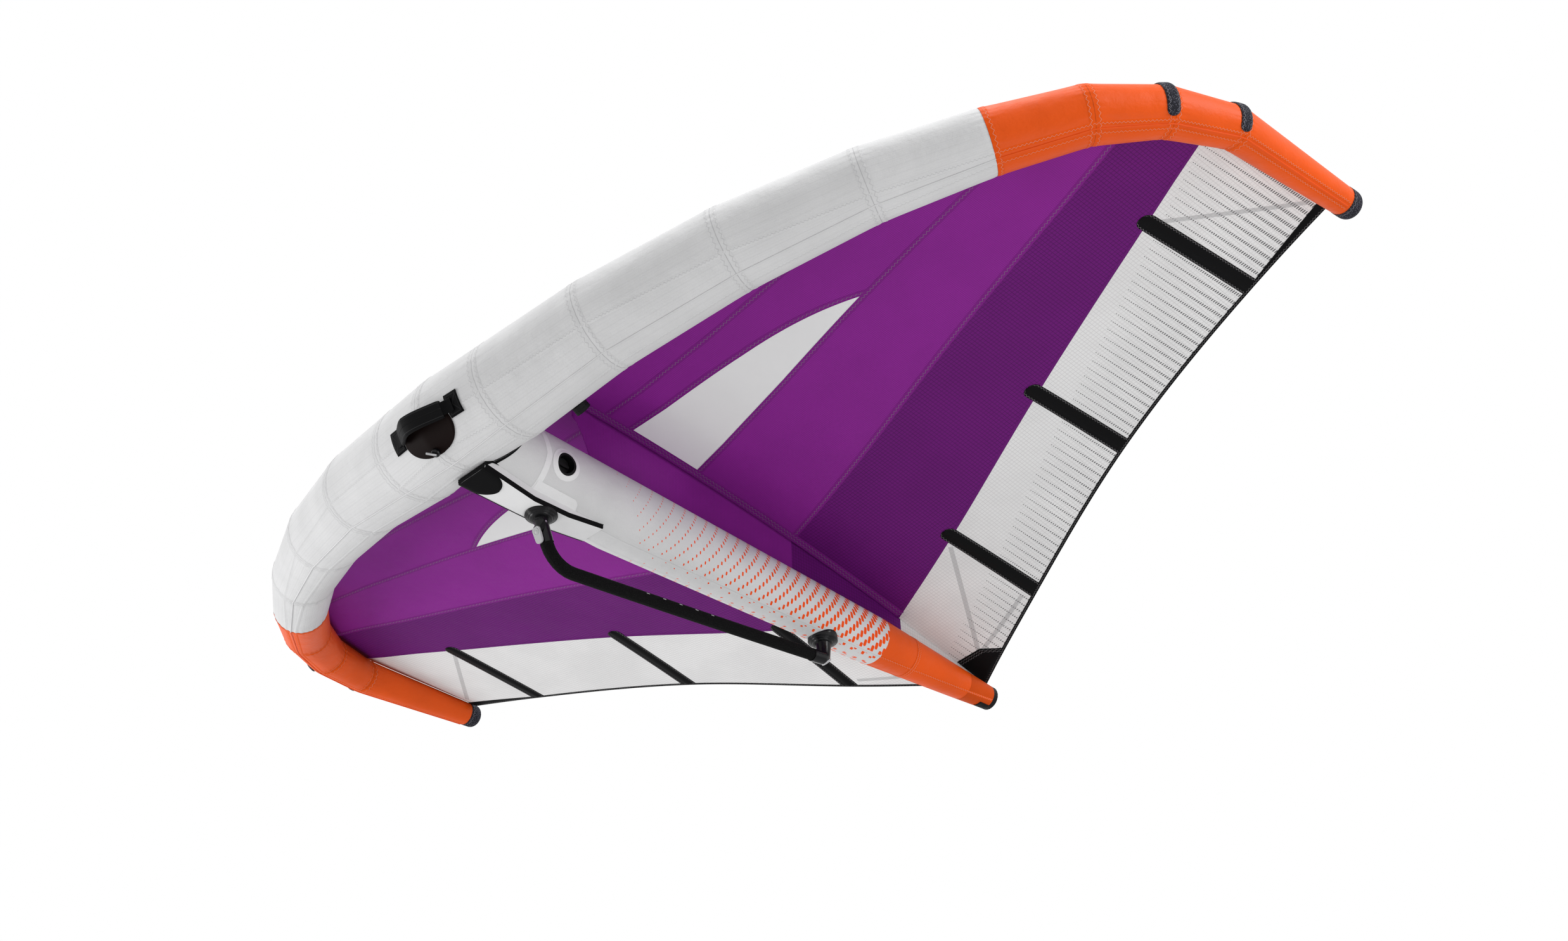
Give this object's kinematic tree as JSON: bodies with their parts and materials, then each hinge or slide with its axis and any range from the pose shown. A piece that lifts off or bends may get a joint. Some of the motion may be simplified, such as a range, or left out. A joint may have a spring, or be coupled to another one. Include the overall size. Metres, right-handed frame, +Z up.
{
  "type": "hand wing for foiling",
  "caption": "Inflatable hand wing with a curved leading edge tube, a tapered strut, a cambered canopy with clear windows and a straight boom under the strut.",
  "frame": {"origin": "middle of the boom's grip, on the line of the tube", "axes": "+X along the span to the right hand tip seen from behind the rider, +Y from the leading edge to the tail of the strut, +Z up to the canopy"},
  "size_m": [3.1678, 1.9093, 0.649],
  "materials": {
    "white_cloth": "satin woven polyester",
    "orange_cloth": "satin woven polyester",
    "purple_cloth": "satin ripstop",
    "dark_purple_cloth": "satin ripstop",
    "pale_cloth": "satin ripstop",
    "window_film": "soft clear film",
    "black_cloth": "matt webbing",
    "speckled_cloth": "matt hard cloth",
    "bladder_film": "thin film",
    "black_plastic": "moulded",
    "grey_plastic": "moulded",
    "grip_foam": "matt foam",
    "alloy": "anodised"
  },
  "bodies": {
    "wing": {"batten_pocket_1_left": "black_cloth", "batten_pocket_1_right": "black_cloth", "batten_pocket_2_left": "black_cloth", "batten_pocket_2_right": "black_cloth", "batten_pocket_3_left": "black_cloth", "batten_pocket_3_right": "black_cloth", "boom_bridge": "white_cloth", "bridge_tongue": "black_plastic", "canopy_front_panel_left": "purple_cloth", "canopy_front_panel_right": "purple_cloth", "canopy_middle_panel_left": "purple_cloth", "canopy_middle_panel_right": "purple_cloth", "canopy_rear_panel_left": "dark_purple_cloth", "canopy_rear_panel_right": "dark_purple_cloth", "canopy_trailing_panel_left": "pale_cloth", "canopy_trailing_panel_right": "pale_cloth", "canopy_window_panel_left": "purple_cloth", "canopy_window_panel_right": "purple_cloth", "edge_valve_base": "black_plastic", "front_mount": "black_plastic", "handle_anchor_left": "black_cloth", "handle_anchor_right": "black_cloth", "handle_backing": "black_cloth", "handle_pad": "black_cloth", "handle_strap": "black_cloth", "leading_edge_bladder": "bladder_film", "leading_edge_sleeve": "white_cloth", "leash_button": "black_plastic", "rear_hinge_pin": "alloy", "rear_mount": "black_plastic", "strut_bladder": "bladder_film", "strut_end_cap": "black_plastic", "strut_sleeve": "white_cloth", "strut_tail_sleeve": "orange_cloth", "strut_valve_cup": "black_plastic", "strut_web": "purple_cloth", "tail_corner_patch_left": "black_cloth", "tail_corner_patch_right": "black_cloth", "tip_cap_left": "speckled_cloth", "tip_cap_right": "speckled_cloth", "tip_guard_1_left": "speckled_cloth", "tip_guard_1_right": "speckled_cloth", "tip_guard_2_left": "speckled_cloth", "tip_guard_2_right": "speckled_cloth", "tip_sleeve_left": "orange_cloth", "tip_sleeve_right": "orange_cloth", "trailing_edge_tape": "black_cloth", "window_left": "window_film", "window_right": "window_film"},
    "boom": {"boom_tube": "alloy", "boom_grip": "grip_foam", "front_fitting": "black_plastic", "rear_fitting": "black_plastic", "boom_end_cap": "grey_plastic", "latch_pin": "alloy"},
    "latch_lever": {"latch_lever": "grey_plastic"},
    "valve_plug": {"strut_valve_plug": "black_plastic"},
    "valve_cap": {"edge_valve_cap": "black_plastic"},
    "leash_pin": {"leash_pin": "grey_plastic"}
  },
  "joints": [
    {"name": "boom_swing", "type": "hinge", "parent": "wing", "child": "boom", "pos_m": [0, 0.46382, 0.09749], "axis": [1, 0, 0], "range_deg": [0, 20]},
    {"name": "latch_lever_swing", "type": "hinge", "parent": "boom", "child": "latch_lever", "pos_m": [0, -0.42318, 0.05147], "axis": [-1, 0, 0], "range_deg": [0, 50]},
    {"name": "strut_valve_turn", "type": "hinge", "parent": "wing", "child": "valve_plug", "pos_m": [0.0628, -0.42677, 0.17157], "axis": [0.9782, -0.0092, -0.2075], "range_deg": [0, 90]},
    {"name": "edge_valve_cap_pull", "type": "slide", "parent": "wing", "child": "valve_cap", "axis": [-0.0039, 0.8762, -0.4819], "range_m": [0, 0.02]},
    {"name": "leash_pin_swivel", "type": "hinge", "parent": "wing", "child": "leash_pin", "pos_m": [0.00589, -0.72071, 0.09379], "axis": [0.1102, -0.4321, -0.895], "range_deg": [-60, 60]}
  ]
}
